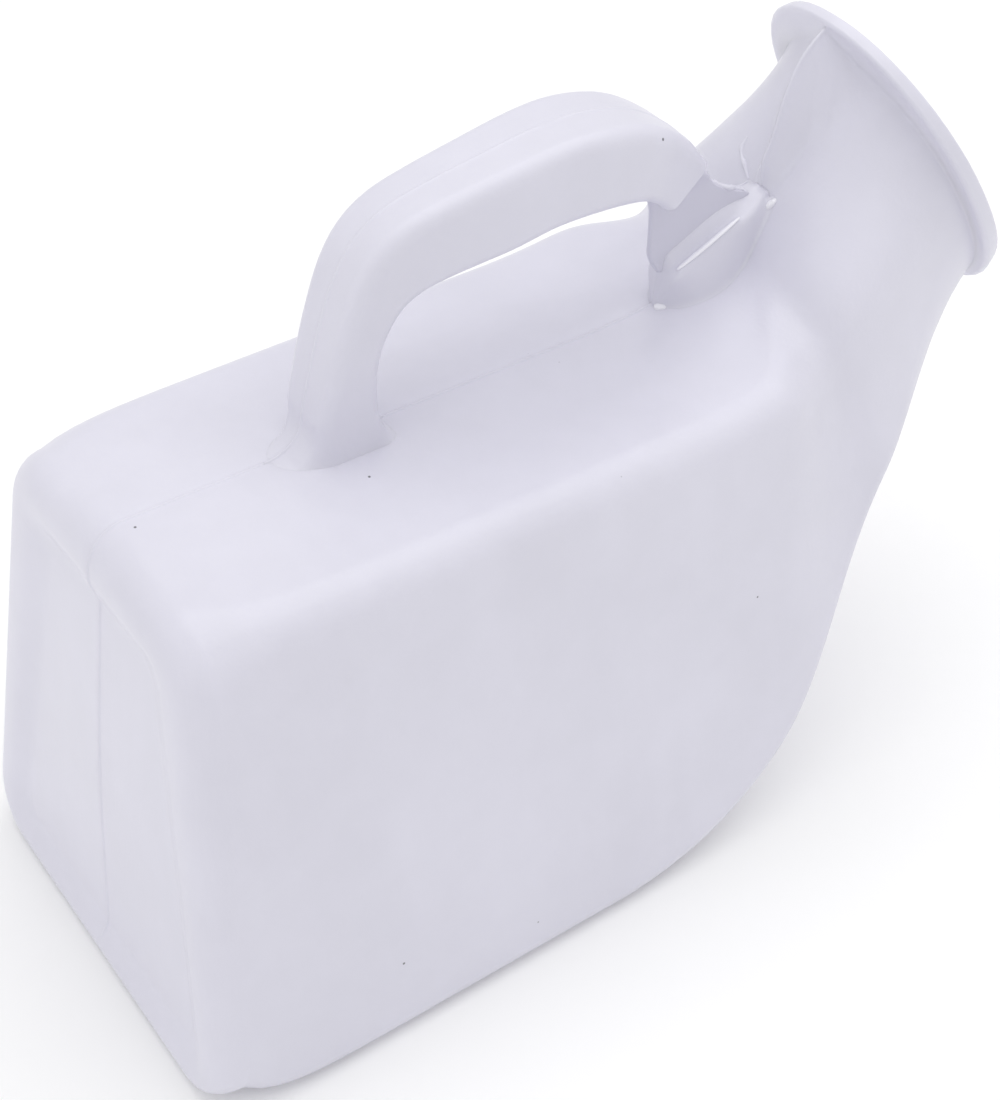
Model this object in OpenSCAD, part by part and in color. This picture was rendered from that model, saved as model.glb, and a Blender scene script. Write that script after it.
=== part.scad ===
// Hand-held urine bottle, blow moulded in one milky plastic wall.
// The wall is divided by region: tank, shoulder, neck, mouth lip, end rim and end
// panel, and the hollow handle over the tank with its pinched front end.
// X runs from the flat end to the mouth, Z is up, and the bottle lies on its floor.

/* [Tank] */
// Width of the tank at the floor
floor_w = 108.4; // [98:0.2:112]
// Width of the tank at its top
top_w = 74.6; // [66:0.2:84]
// Height of the flat end
tank_h = 109; // [100:1:118]
// How far the flat end leans forward over its height
end_lean = 16; // [8:1:20]
// Fall of the top from the flat end to the shoulder, in degrees
top_fall = 2.5; // [1:0.5:3]
// Rise of the top's middle over its edges
top_crown = 2; // [0:0.5:3]
// Length of the floor before it turns up into the chin
floor_len = 96.5; // [90:0.5:104]
// Wall thickness
wall = 1.6; // [1.2:0.1:2]

/* [Mouth] */
// Width of the mouth's front edge
mouth_w = 57.4; // [52:0.2:62]
// Length of the mouth's front edge, from top to bottom
mouth_h = 77; // [70:1:82]
// Upward tilt of the mouth, in degrees
mouth_tilt = 28; // [24:1:34]
// Depth of the thick lip round the mouth
lip_depth = 5; // [4:0.5:8]
// How far the lip stands proud of the neck
lip_proud = 2.6; // [1.5:0.1:3.5]

/* [Handle] */
// Corner radius of the handle's outer edges
grip_outer_r = 3; // [2:0.5:4]
// Corner radius of the handle's inner edges
grip_inner_r = 2.4; // [2:0.2:4]
// How far the handle's foot spreads to the rear
foot_rear = 9; // [6:0.5:12]
// How far the handle's foot spreads to the front
foot_front = 4; // [3:0.5:6]

/* [Hidden] */

body_color = [0.88, 0.88, 0.92];
edge_color = [0.80, 0.80, 0.86];
trim_color = [0.93, 0.93, 0.95];

corner_steps = 6;
crown_steps = 6;

// Centre of the mouth's front edge
mouth_x = 204;
mouth_z = 123;

// Fillet round the flat end, its share at the floor, and the soft step down to the panel
end_r = 7;
low_share = 0.45;
panel_depth = 2.2;
panel_pillow = 0.9;
relief_w = 9;

// Corner radii of the tank's section, and of the flat end, which is rounder
floor_corner = 6.5;
top_corner = 6.5;
end_low_corner = 17;
end_high_corner = 13;

// The lip is thinner at its top than at its bottom, by this share
lip_top_share = 0.6;
lip_flare = 0.9;
lip_edge = 0.4;
lip_overhang = 5;

// The origin is the middle of the base of the whole object's box
rear_x = end_r * low_share * sin(atan(end_lean / tank_h));
front_x = mouth_x + sin(mouth_tilt) * mouth_h / 2;
origin_x = (rear_x + front_x) / 2;

// ---- Outlines -------------------------------------------------------------

// Half the tank's width at height z
function half_w(z) = (floor_w - (floor_w - top_w) * z / tank_h) / 2;

// Height of the tank's top edge at x
function top_z(x) = tank_h - (x - end_lean) * tan(top_fall);

// A point on the slanted line of the flat end, at height z
function end_x(z) = end_lean * z / tank_h;

// Outline of a rounded trapezoid as [across, up] points. hb and ht are half widths,
// h is the height, rb and rt are [across, up] corner radii, and crown lifts the top.
function outline(hb, ht, h, rb, rt, crown) =
  let (w = function (v) hb + (ht - hb) * v / h)
  concat(
    [for (i = [0:corner_steps]) let (a = 270 + 90 * i / corner_steps, v = rb[1] * (1 + sin(a)))
      [w(v) - rb[0] + rb[0] * cos(a), v]],
    [for (i = [0:corner_steps]) let (a = 90 * i / corner_steps, v = h - rt[1] * (1 - sin(a)))
      [w(v) - rt[0] + rt[0] * cos(a), v]],
    [for (i = [1:crown_steps - 1]) let (s = 1 - 2 * i / crown_steps)
      [s * (ht - rt[0]), h + crown * (1 + cos(180 * s)) / 2]],
    [for (i = [0:corner_steps]) let (a = 90 + 90 * i / corner_steps, v = h - rt[1] * (1 - sin(a)))
      [-w(v) + rt[0] + rt[0] * cos(a), v]],
    [for (i = [0:corner_steps]) let (a = 180 + 90 * i / corner_steps, v = rb[1] * (1 + sin(a)))
      [-w(v) + rb[0] + rb[0] * cos(a), v]]
  );

// A station is [low point, high point, half width low, half width high,
// low corner radii, high corner radii, crown]. Points are [x, z] on the middle plane.
function station(lo, hi, hb, ht, rb, rt, crown = 0) = [lo, hi, hb, ht, rb, rt, crown];

// The ring of 3-D points of a station, pulled in by t all round
function ring(s, t = 0) =
  let (
    len = norm(s[1] - s[0]),
    up = (s[1] - s[0]) / len,
    base = s[0] + up * t,
    rb = [max(s[4][0] - t, 0.4), max(s[4][1] - t, 0.4)],
    rt = [max(s[5][0] - t, 0.4), max(s[5][1] - t, 0.4)]
  )
  [for (p = outline(s[2] - t, s[3] - t, len - 2 * t, rb, rt, s[6]))
    [base[0] + up[0] * p[1], p[0], base[1] + up[1] * p[1]]];

// ---- Skins ----------------------------------------------------------------

function quad(a, b, c, d) = [[c, b, a], [d, c, a]];

// A closed tube of rings, whose last ring joins its first
module ring_loop(rings) {
  n = len(rings[0]);
  m = len(rings);
  faces = [for (i = [0:m - 1], j = [0:n - 1]) let (k = (i + 1) % m, l = (j + 1) % n)
    each quad(i * n + j, i * n + l, k * n + l, k * n + j)];
  polyhedron([for (r = rings) each r], faces, convexity = 8);
}

// A solid between the first ring and the last, with flat ends
module ring_solid(rings) {
  n = len(rings[0]);
  m = len(rings);
  sides = [for (i = [0:m - 2], j = [0:n - 1]) let (l = (j + 1) % n)
    each quad(i * n + j, i * n + l, (i + 1) * n + l, (i + 1) * n + j)];
  start = [[for (j = [0:n - 1]) j]];
  finish = [[for (j = [0:n - 1]) m * n - 1 - j]];
  polyhedron([for (r = rings) each r], concat(start, sides, finish), convexity = 8);
}

function backwards(list) = [for (i = [len(list) - 1:-1:0]) list[i]];

// A wall of even thickness that follows the stations
module shell(stations, t = wall) {
  ring_loop(concat(
    [for (s = stations) ring(s)],
    backwards([for (s = stations) ring(s, t)])
  ));
}

function ease(u) = u * u * (3 - 2 * u);

function mix(a, b, u) = a * (1 - u) + b * u;

// ---- Tank, shoulder and neck ----------------------------------------------

// A station of the tank between two heights of its middle plane
function tank_station(lo, hi) =
  station(lo, hi, half_w(lo[1]), half_w(hi[1]), [floor_corner, floor_corner],
    [top_corner, top_corner], top_crown);

// Parallel to the flat end at distance d from it, pulled in from its outline all round, and
// pulled in further by the relief's step, which is narrower at the top and at the floor
function end_station(d, pull = 0, step = 0) =
  let (
    fall = tan(top_fall),
    shift = d * norm([end_lean, tank_h]) / tank_h,
    hi_z = tank_h - shift * fall / (1 + fall * end_lean / tank_h),
    lo = [shift, 0],
    hi = [end_x(hi_z) + shift, hi_z],
    up = (hi - lo) / norm(hi - lo),
    low_r = max(end_low_corner - pull - step * 0.4, 5),
    high_r = max(end_high_corner - pull - step * 0.3, 5)
  )
  station(lo + up * (pull * low_share + step * 0.8), hi - up * (pull + step * 0.75),
    half_w(0) - pull - step, half_w(hi_z) - pull * 1.15 - step,
    [low_r, low_r], [high_r, high_r], top_crown * max(0, 1 - (pull + step) / (2 * end_r)));

tank_start = end_station(end_r);
tank_end = tank_station([floor_len, 0], [floor_len + 28, top_z(floor_len + 28)]);

// A station at share u of the tank's length, whose corners settle soon after the flat end
function tank_between(u) =
  let (
    s = tank_station(mix(tank_start[0], tank_end[0], u), mix(tank_start[1], tank_end[1], u)),
    blend = pow(1 - u, 14)
  )
  station(s[0], s[1], s[2], s[3], mix(s[4], tank_start[4], blend), mix(s[5], tank_start[5], blend), s[6]);

module tank_wall() color(body_color) shell([for (u = [0, 0.03, 0.07, 0.13, 0.22, 1]) tank_between(u)]);

// The chin curve: points of a cubic from the floor's end to the neck's underside
chin_start = [floor_len, 0];
chin_end = [173.5, 66];
chin_end_angle = 66;
chin_pull = [41, 34];

function cubic(p, u) =
  p[0] * pow(1 - u, 3) + 3 * p[1] * pow(1 - u, 2) * u + 3 * p[2] * (1 - u) * u * u + p[3] * u * u * u;

chin = [chin_start, chin_start + [chin_pull[0], 0],
  chin_end - chin_pull[1] * [cos(chin_end_angle), sin(chin_end_angle)], chin_end];

// The top's curve from the tank up to the neck's back
root_start = tank_end[1];
root_end = [163, 114];
root = [root_start, root_start + [18, -18 * tan(top_fall)], root_end - [4.5, 8], root_end];

shoulder_steps = 9;

root_half = [43, 29];

function shoulder_station(u) =
  let (
    lo = cubic(chin, u),
    hi = cubic(root, u),
    len = norm(hi - lo),
    turn = ease(max(0, (u - 0.45) / 0.55)),
    fade = ease(max(0, (u - 0.35) / 0.65)),
    hb = mix(half_w(lo[1]), root_half[0], turn),
    ht = mix(half_w(hi[1]), root_half[1], turn)
  )
  station(lo, hi, hb, ht,
    [mix(floor_corner, hb * 0.45, turn), mix(floor_corner, len * 0.2, turn)],
    [mix(top_corner, ht * 0.65, fade), mix(top_corner, len * 0.22, fade)],
    top_crown * (1 - turn));

shoulder = [for (i = [0:shoulder_steps]) shoulder_station(i / shoulder_steps)];

module shoulder_wall() color(body_color) shell(shoulder);

// Share of an oval's half sizes that its corner curves take, which leaves short straights
oval = 0.96;

// The mouth's axis, and its long direction in the plane of its front edge
mouth_axis = [cos(mouth_tilt), sin(mouth_tilt)];
mouth_up = [-sin(mouth_tilt), cos(mouth_tilt)];
mouth_centre = [mouth_x, mouth_z];

// An oval at distance d behind the front edge, grown by g all round and cut at its top
function mouth_station(d, g, cut = 0) =
  let (
    a = mouth_w / 2 + g,
    b = mouth_h / 2 + g,
    r = oval * [a, b - cut / 2]
  )
  station(mouth_centre - mouth_axis * d - mouth_up * b,
    mouth_centre - mouth_axis * d * lip_top_share + mouth_up * (b - cut), a, a, r, r);

// The neck's oval inside the lip: the lip overhangs it most at its top
function neck_mouth(d, g = 0) = mouth_station(d, g - lip_proud, lip_overhang);

neck_steps = 6;
neck_end = neck_mouth(lip_depth);
neck_start = shoulder[shoulder_steps];

// Underside and back of the neck, from the shoulder to the lip
under = [neck_start[0], neck_start[0] + 14 * [cos(chin_end_angle - 8), sin(chin_end_angle - 8)],
  neck_end[0] - 20 * [cos(44), sin(44)], neck_end[0]];
back = [neck_start[1], neck_start[1] + [6, 9], neck_end[1] - 12 * [cos(66), sin(66)], neck_end[1]];

function neck_station(u) =
  let (
    lo = cubic(under, u),
    hi = cubic(back, u),
    len = norm(hi - lo),
    w = ease(u),
    hb = mix(root_half[0], neck_end[2], w),
    ht = mix(root_half[1], neck_end[2], w)
  )
  station(lo, hi, hb, ht,
    [hb * mix(0.45, oval, w), len * mix(0.2, 0.5 * oval, w)],
    [ht * mix(0.65, oval, w), len * mix(0.22, 0.5 * oval, w)]);

neck = [for (i = [0:neck_steps]) neck_station(i / neck_steps)];

module neck_wall() color(body_color) shell(neck);

module mouth_lip() color(edge_color) {
  outer = [[lip_depth, lip_flare - 1.4], [lip_depth - 0.5, lip_flare - 0.4],
    [lip_depth - 1.4, lip_flare], [lip_edge, 0.2], [0, -lip_edge]];
  inner = [[0, lip_edge - wall], [lip_edge, -wall], [lip_depth, -wall]];
  ring_loop(concat(
    [for (p = outer) ring(mouth_station(p[0], p[1]))],
    [for (p = inner) ring(neck_mouth(p[0], p[1]))]
  ));
}

// ---- Flat end --------------------------------------------------------------

// Where the relief's step starts, measured in from the outline
flat_at = end_r + 1;

// Rim round the flat end: outer fillet, soft step down to the panel, and the inside
module end_rim() color(body_color) {
  fillet = [for (i = [0:5]) let (a = 90 * i / 5)
    end_station(end_r * (1 - sin(a)), end_r * (1 - cos(a)))];
  relief = [for (i = [0:4]) let (u = i / 4)
    end_station(panel_depth * ease(u), flat_at, relief_w * u)];
  inside = [end_station(panel_depth + wall, flat_at, relief_w), end_station(wall + 0.2, end_r + 2),
    end_station(wall + 2, end_r + 1)];
  ring_loop(backwards(concat([for (s = fillet) ring(s)], [for (s = relief) ring(s)],
    [for (s = inside) ring(s)], [ring(tank_start, wall)])));
}

// A ring drawn in towards its middle by a share and moved along the bottle
function shrunk(points, share, move) =
  let (
    xs = [for (p = points) p[0]],
    zs = [for (p = points) p[2]],
    middle = [(min(xs) + max(xs)) / 2, 0, (min(zs) + max(zs)) / 2]
  )
  [for (p = points) middle + (p - middle) * share + [move, 0, 0]];

// The panel inside the rim, whose outer face swells a little towards its middle
module end_panel() color(body_color) {
  face = ring(end_station(panel_depth, flat_at, relief_w));
  swell = [for (s = [0.1, 0.3, 0.5, 0.7, 0.85]) shrunk(face, s, -panel_pillow * pow(1 - s * s, 1.5))];
  ring_solid(concat(swell, [face, ring(end_station(panel_depth + wall, flat_at, relief_w))]));
}

// ---- Handle ----------------------------------------------------------------

// Stations of the handle from its foot to its front end:
// [point of its outer edge, point of its inner edge, half width outside, half width inside]
handle_line = [
  [[61.3, 117], [74.4, 117], 7.3, 7.3],
  [[64, 126], [74.7, 125], 7.8, 7.8],
  [[67, 135], [76.8, 131.2], 7.8, 7.8],
  [[71, 144.2], [80.7, 136.3], 7.9, 7.9],
  [[76, 150.5], [85.4, 138.6], 8.1, 8.1],
  [[82.8, 154.2], [91.2, 139.4], 8.4, 8.4],
  [[92, 155.9], [97.5, 139.8], 8.8, 8.8],
  [[103, 157.1], [104.5, 140.3], 9.3, 9.3],
  [[114.2, 158.2], [113, 141.5], 9.7, 9.7],
  [[124, 157.9], [121.5, 141.3], 10, 10],
  [[134, 155.4], [128.5, 140.4], 9.5, 10],
  [[141.4, 150.9], [133.8, 139], 8.5, 9.8],
  [[147.5, 145.2], [137.2, 136.8], 6.2, 9.5],
  [[152.8, 138.2], [139.3, 134.6], 4.2, 9.2]
];

// A smooth curve through the handle's stations
function smooth(list, t) =
  let (
    last = len(list) - 1,
    i = min(floor(t), last - 1),
    u = t - i,
    a = list[max(i - 1, 0)], b = list[i], c = list[i + 1], d = list[min(i + 2, last)]
  )
  0.5 * (2 * b + (c - a) * u + (2 * a - 5 * b + 4 * c - d) * u * u + (3 * b - a - 3 * c + d) * u * u * u);

function handle_station(t) =
  let (p = smooth(handle_line, t))
  station(p[1], p[0], p[3], p[2], [grip_inner_r, grip_inner_r], [grip_outer_r, grip_outer_r]);

// The foot at turn a: at 90 it is the leg's section, at 0 it lies along the tank's top
foot_z = 107.9;
collar_z = handle_line[0][0][1];
collar_x = (handle_line[0][0][0] + handle_line[0][1][0]) / 2;
collar_half = (handle_line[0][1][0] - handle_line[0][0][0]) / 2;

function foot_ring(a) =
  [for (p = ring(handle_station(0)))
    let (
      along = (p[0] - collar_x) / collar_half,
      rear = foot_rear * (1 - 0.95 * pow(p[1] / handle_line[0][2], 2)),
      reach = along * (along < 0 ? rear : foot_front)
    )
    [p[0] + reach * (1 - cos(90 - a)), p[1], foot_z + (collar_z - foot_z) * (1 - cos(a))]];

module handle_part(from, to, steps) {
  shell([for (i = [0:steps]) handle_station(from + (to - from) * i / steps)]);
}

module handle_leg() color(body_color) {
  stations = [for (i = [0:6]) handle_station(i / 2)];
  bottom = [for (p = ring(stations[0], wall)) [p[0], p[1], foot_z]];
  ring_loop(concat([for (a = [0:15:75]) foot_ring(a)], [for (s = stations) ring(s)],
    backwards([for (s = stations) ring(s, wall)]), [bottom]));
}
module handle_grip() color(body_color) handle_part(3, 10, 16);
module handle_tip() color(body_color) {
  ring_solid([for (i = [0:6]) ring(handle_station(10 + i / 2))]);
}

// ---- Pinched front of the handle -------------------------------------------

web_t = 1.4;
scar_sink = 0.3;

// A flat plate on the middle plane, drawn by its side outline
module plate(points, t) {
  rotate([90, 0, 0])
    linear_extrude(height = t, center = true)
      polygon(points);
}

// Stations of the boss: [x, height of its foot, half width of its foot, height and half width
// of its two ridges]
boss_line = [
  [142, 106, 0.5, 106.9, 0.4],
  [142.7, 106, 1.6, 108.8, 1.2],
  [143.7, 106.1, 3, 113, 2.7],
  [145, 106.2, 4.2, 115.3, 3.7],
  [150, 107, 6.4, 117.4, 4],
  [155, 108, 6.8, 119.4, 4],
  [161.2, 111.1, 5.9, 122, 4],
  [164.5, 115.4, 5.2, 123, 3.7],
  [168, 120.1, 4.4, 124.2, 2.6]
];
bead_rise = 1.1;
bead_span = [145, 161.5];

// A ring at x from the right half of its outline, which ends on the middle plane
function mirrored(x, half) = concat(
  [for (p = half) [x, p[0], p[1]]],
  [for (p = backwards(half)) if (p[0] > 0) [x, -p[0], p[1]]]
);

// The stump that the handle's front end stands on, lens shaped, with a ridge along both edges
module root_boss() color(body_color) {
  ring_solid([for (s = boss_line)
    let (
      x = s[0], low = s[1], foot = s[2], high = s[3], ridge = s[4],
      rise = x > bead_span[0] && x < bead_span[1] ? bead_rise : 0
    )
    mirrored(x, [
      [foot, low],
      [mix(foot, ridge, 0.4), mix(low, high, 0.5)],
      [ridge * 1.15, high - 0.6],
      [ridge, high + rise],
      [ridge * 0.8, high],
      [0, high - 0.3]
    ])]);
}

// The web where the mould pinches the tube shut between the handle's tip and the boss
module pinch_web() color(edge_color) {
  plate([[141.5, 114.5], [140.2, 117], [140.3, 119.4], [141, 122], [141.2, 127], [140.9, 131.4],
    [141.5, 135], [153.6, 135], [156, 131.4], [157.6, 129.4], [160.9, 127], [165.4, 124.6],
    [167.6, 122], [163, 117], [160, 114.5]], web_t);
}

// Crest of the gusset from the neck's back to the lip's overhang
fin_crest = [[166.8, 124.2], [169.2, 130], [171.6, 135.2], [174, 143], [177.2, 149.6], [180.6, 153],
  [183, 154.6]];
fin_start = 0.22;
fin_t = 2.4;
fin_sink = 0.9;

// The middle line of the neck's back under the gusset, inside its wall
function fin_seat(u) =
  cubic(back, mix(fin_start, 1, u)) + fin_sink * [mouth_axis[0], -mouth_axis[1]];

module neck_fin() color(edge_color) {
  last = len(fin_crest) - 1;
  plate(concat(fin_crest, [for (i = [last:-1:0]) fin_seat(i / last)]), fin_t);
}

// Soft lumps beside the neck's back, where the waste was trimmed off: [place, radius]
scar_lumps = [
  [[168.8, 10.8, 121.9], 1.2],
  [[170.7, 10, 124.2], 1.4],
  [[172.8, 9, 127], 1.2],
  [[170.6, 7.4, 124.3], 1.3],
  [[172.4, 6.8, 126.7], 1.3]
];

module pinch_scar() color(trim_color) {
  for (lump = scar_lumps)
    translate(lump[0] - [0, 0, scar_sink])
      sphere(r = lump[1], $fn = 16);
}

// Heights where the panel's swell starts and ends
panel_z = [9, 93];

// The parting ridge's thickness, its two runs along the top, and its run up the end panel
ridge_t = 0.5;
ridge_tops = [[20, 52], [82, 122]];
ridge_panel = [17.4, 84.6];
ridge_steps = 8;

// The line where the mould's halves met, along the middle of the top and of the end panel
module parting_ridge() color(trim_color) {
  top_at = function (x) [x, top_z(x) + top_crown + ridge_t / 4];
  swell_at = function (z) let (u = (z - panel_z[0]) / (panel_z[1] - panel_z[0]))
    panel_pillow * pow(4 * u * (1 - u), 1.5);
  panel_at = function (z) [end_x(z) + panel_depth - swell_at(z), z];
  line = [for (i = [0:ridge_steps]) panel_at(mix(ridge_panel[0], ridge_panel[1], i / ridge_steps))];
  for (run = ridge_tops)
    plate([top_at(run[0]), top_at(run[1]), top_at(run[1]) - [0, ridge_t],
      top_at(run[0]) - [0, ridge_t]], ridge_t);
  plate(concat(line, [for (p = backwards(line)) p + [ridge_t, 0]]), ridge_t);
}

// Moves the parts from the flat end's frame to the object's origin
module placed() translate([-origin_x, 0, 0]) children();

placed() tank_wall();
placed() shoulder_wall();
placed() neck_wall();
placed() mouth_lip();
placed() end_rim();
placed() end_panel();
placed() handle_leg();
placed() handle_grip();
placed() handle_tip();
placed() pinch_web();
placed() root_boss();
placed() neck_fin();
placed() pinch_scar();
placed() parting_ridge();
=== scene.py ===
"""Looks of the urine bottle: one blow-moulded milky shell, its hollow handle and the pinched
end of the handle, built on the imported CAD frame. Lengths are millimetres in the flat end's
frame, and `placed` turns them into metres in the CAD's frame."""

import math

import bmesh
import bpy
import numpy as np
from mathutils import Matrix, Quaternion, Vector
from mathutils.bvhtree import BVHTree


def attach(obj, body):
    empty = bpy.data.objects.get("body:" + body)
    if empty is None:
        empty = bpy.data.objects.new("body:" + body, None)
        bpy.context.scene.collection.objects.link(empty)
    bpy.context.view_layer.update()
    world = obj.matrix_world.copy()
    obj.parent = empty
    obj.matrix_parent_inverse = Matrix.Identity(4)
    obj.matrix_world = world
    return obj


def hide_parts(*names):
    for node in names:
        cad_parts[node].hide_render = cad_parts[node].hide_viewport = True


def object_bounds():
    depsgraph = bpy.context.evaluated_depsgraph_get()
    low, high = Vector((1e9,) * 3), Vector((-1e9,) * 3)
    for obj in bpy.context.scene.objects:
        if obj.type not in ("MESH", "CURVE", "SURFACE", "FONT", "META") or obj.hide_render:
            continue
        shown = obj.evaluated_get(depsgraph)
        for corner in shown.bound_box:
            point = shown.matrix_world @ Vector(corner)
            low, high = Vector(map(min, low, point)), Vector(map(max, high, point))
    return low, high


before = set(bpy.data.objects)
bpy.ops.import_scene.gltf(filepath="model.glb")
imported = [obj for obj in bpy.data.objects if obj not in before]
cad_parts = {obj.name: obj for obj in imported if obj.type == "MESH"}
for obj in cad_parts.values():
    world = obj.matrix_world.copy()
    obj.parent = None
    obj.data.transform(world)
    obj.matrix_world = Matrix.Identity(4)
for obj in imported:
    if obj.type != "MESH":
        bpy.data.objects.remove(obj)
cad_low, cad_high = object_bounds()

MM = 0.001

# ---- Driving sizes, the same as the CAD's -----------------------------------

FLOOR_W = 108.4
TOP_W = 74.6
TANK_H = 109.0
END_LEAN = 16.0
TOP_FALL = math.tan(math.radians(2.5))
TOP_CROWN = 2.0
FLOOR_LEN = 96.5
WALL = 1.6

MOUTH_W = 57.4
MOUTH_H = 77.0
MOUTH_TILT = math.radians(28)
MOUTH_CENTRE = np.array([204.0, 123.0])
LIP_DEPTH = 5.0
LIP_TOP_SHARE = 0.6
LIP_PROUD = 2.6
LIP_FLARE = 0.9
LIP_OVERHANG = 5.0
OVAL = 0.96

END_R = 7.0
LOW_SHARE = 0.45
PANEL_DEPTH = 2.2
RELIEF_W = 9.0
PANEL_PILLOW = 0.9
FLOOR_CORNER = 6.5
TOP_CORNER = 6.5
END_LOW_CORNER = 17.0
END_HIGH_CORNER = 13.0

# Crest of the gusset that the seam draws from the neck's back up to the lip, the share of the
# neck below it, and half its width at both its ends
FIN_CREST = np.array([[167.6, 126.0], [169.2, 130.0], [171.6, 135.2], [174.0, 143.0], [177.2, 149.6],
                      [180.6, 153.0], [183.0, 154.6]])
FIN_START = 0.22
FIN_HALF = [2.6, 8.5]

# The origin is the middle of the base of the CAD's box
REAR_X = END_R * LOW_SHARE * math.sin(math.atan(END_LEAN / TANK_H))
FRONT_X = MOUTH_CENTRE[0] + math.sin(MOUTH_TILT) * MOUTH_H / 2
ORIGIN_X = (REAR_X + FRONT_X) / 2

# The seam that the mould's halves leave along the middle plane: a ridge with a groove beside it,
# drawn by columns of points, which starts above the floor's edge
SEAM_RISE = 0.3
SEAM_HALF = 0.26
SEAM_COLUMNS = [0.0, 0.13, 0.26, 0.4, 0.6, 0.9]
SEAM_ROOM = 1.1 * SEAM_COLUMNS[-1]
GROOVE_Y = 2.2 * SEAM_HALF
GROOVE_SHARE = 0.35
SEAM_LOW_Z = 5.0
SEAM_FADE = 4.0


def placed(points):
    """Points of the flat end's frame, in millimetres, as metres in the CAD's frame."""
    return (np.asarray(points, float) - [ORIGIN_X, 0, 0]) * MM


def direction(angle):
    """The unit vector at that angle, on the middle plane."""
    return np.array([math.cos(angle), math.sin(angle)])


def quarter(steps):
    """Angles over a quarter turn from 0, in that many even steps."""
    return np.linspace(0, math.pi / 2, steps + 1)


def shares(steps):
    """That many even shares up to 1, without 0."""
    return np.linspace(0, 1, steps + 1)[1:]


def ease(u):
    """A share from 0 to 1 that starts and ends gently."""
    return u * u * (3 - 2 * u)


def mix(a, b, u):
    """From a to b, at the share u."""
    return a * (1 - u) + b * u


def cubic(p, u):
    """A point of the curve from p[0] to p[3] with the arms' ends p[1] and p[2]."""
    return p[0] * (1 - u) ** 3 + 3 * p[1] * (1 - u) ** 2 * u + 3 * p[2] * (1 - u) * u * u + p[3] * u**3


def smooth(points, t):
    """A point at t on the smooth curve through the points."""
    last = len(points) - 1
    i = min(int(t), last - 1)
    u = t - i
    a, b, c, d = points[max(i - 1, 0)], points[i], points[i + 1], points[min(i + 2, last)]
    square = 2 * a - 5 * b + 4 * c - d
    cube = 3 * b - a - 3 * c + d
    return 0.5 * (2 * b + (c - a) * u + square * u**2 + cube * u**3)


# ---- Sections ----------------------------------------------------------------

# A section pulled in keeps at least this corner radius
LEAST_CORNER = 0.4


def half_w(z):
    """Half the tank's width at height z."""
    return (FLOOR_W - (FLOOR_W - TOP_W) * z / TANK_H) / 2


def top_z(x):
    """Height of the tank's top edge at x."""
    return TANK_H - (x - END_LEAN) * TOP_FALL


class Section:
    """A rounded trapezoid that stands across the middle plane, from point low to point high."""

    def __init__(self, low, high, low_half, high_half, low_corner, high_corner, crown=0.0):
        self.low = np.array(low, float)
        self.high = np.array(high, float)
        self.low_half = low_half
        self.high_half = high_half
        self.low_corner = np.array(low_corner, float)
        self.high_corner = np.array(high_corner, float)
        self.crown = crown

    def inset(self, t):
        """The same section pulled in by t all round."""
        up = (self.high - self.low) / np.linalg.norm(self.high - self.low)
        return Section(
            self.low + up * t,
            self.high - up * t,
            self.low_half - t,
            self.high_half - t,
            np.maximum(self.low_corner - t, LEAST_CORNER),
            np.maximum(self.high_corner - t, LEAST_CORNER),
            self.crown,
        )


# How many steps each ring has round a corner, up a side and over half of a flat, and the sizes
# of the rings that close a flat end
CORNER_STEPS = 12
SIDE_STEPS = 10
SPAN_STEPS = 9
CLOSING_SHARES = [0.7, 0.35, 0.0]
SHORTEST_NORMAL = 1e-9


def across(reach):
    """Places across a flat of half width reach: close together at the seam, wide elsewhere."""
    fine = np.array(SEAM_COLUMNS[1:]) * min(1, reach / SEAM_ROOM)
    coarse = fine[-1] + (reach - fine[-1]) * np.linspace(0, 1, SPAN_STEPS + 1)[1:-1]
    half = np.concatenate([fine, coarse])
    return np.concatenate([-half[::-1], [0.0], half])


def ring(s):
    """The ring of points of a section: up its right side, over its top, and back under it."""
    height = np.linalg.norm(s.high - s.low)
    up = (s.high - s.low) / height

    def width(v):
        return s.low_half + (s.high_half - s.low_half) * v / height

    turn = quarter(CORNER_STEPS)
    low_v = s.low_corner[1] * (1 - np.cos(turn))
    low_y = width(low_v) - s.low_corner[0] * (1 - np.sin(turn))
    high_v = height - s.high_corner[1] * (1 - np.sin(turn))
    high_y = width(high_v) - s.high_corner[0] * (1 - np.cos(turn))
    side = (1 - np.cos(np.linspace(0, math.pi, SIDE_STEPS + 1)[1:-1])) / 2
    side_v = mix(s.low_corner[1], height - s.high_corner[1], side)
    top_reach = s.high_half - s.high_corner[0]
    top_y = across(top_reach)[::-1]
    crown = s.crown * (1 + np.cos(math.pi * top_y / top_reach)) / 2
    floor_y = across(s.low_half - s.low_corner[0])
    right_y = np.concatenate([low_y, width(side_v), high_y])
    right_v = np.concatenate([low_v, side_v, high_v])
    y = np.concatenate([right_y, top_y, -right_y[::-1], floor_y])
    v = np.concatenate([right_v, height + crown, right_v[::-1], 0 * floor_y])
    return np.column_stack([s.low[0] + up[0] * v, y, s.low[1] + up[1] * v])


def seam_profile(y):
    """Height of the seam's ridge across its width, from 0 to 1, with a shallow groove beside it."""
    ridge = np.exp(-((y / SEAM_HALF) ** 2))
    groove = np.exp(-(((y - GROOVE_Y) / SEAM_HALF) ** 2))
    return ridge - GROOVE_SHARE * groove


def outward(grid):
    """Unit normals of the skin through a grid of rings."""
    along = np.gradient(grid, axis=0)
    around = np.roll(grid, -1, axis=1) - np.roll(grid, 1, axis=1)
    normal = np.cross(around, along)
    return normal / np.maximum(np.linalg.norm(normal, axis=2, keepdims=True), SHORTEST_NORMAL)


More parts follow.
